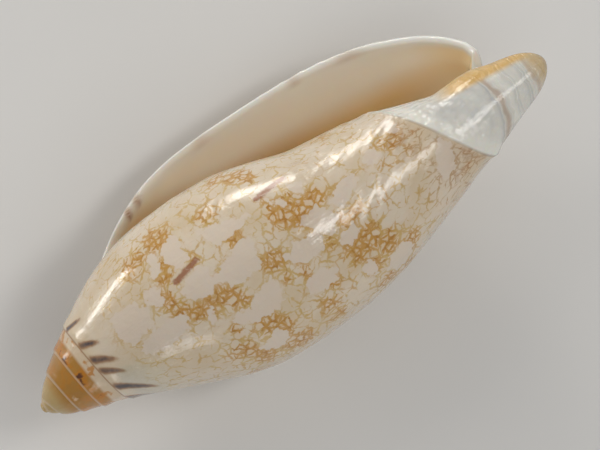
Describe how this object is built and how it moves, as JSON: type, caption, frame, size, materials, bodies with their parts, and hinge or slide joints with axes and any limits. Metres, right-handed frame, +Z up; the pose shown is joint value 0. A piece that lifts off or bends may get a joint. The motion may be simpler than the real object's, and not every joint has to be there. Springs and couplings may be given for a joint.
{
  "type": "volute seashell",
  "caption": "Glossy volute seashell with a short conical spire, a long open aperture, a pleated columella and a notched front end, lying on the back of its body whorl",
  "frame": {"origin": "centre of the shell's outline as seen from above, on the surface that it rests on", "axes": "+X along the shell from the apex to the front end, +Z up, +Y to the outer lip's side; the aperture faces up"},
  "size_m": [0.1048, 0.0422, 0.0391],
  "materials": {
    "shell_gloss": "glossy natural shell: cream with a fine net of orange-brown lines round white tents, tan aperture"
  },
  "bodies": {
    "root": {"shell": "shell_gloss"}
  },
  "joints": []
}
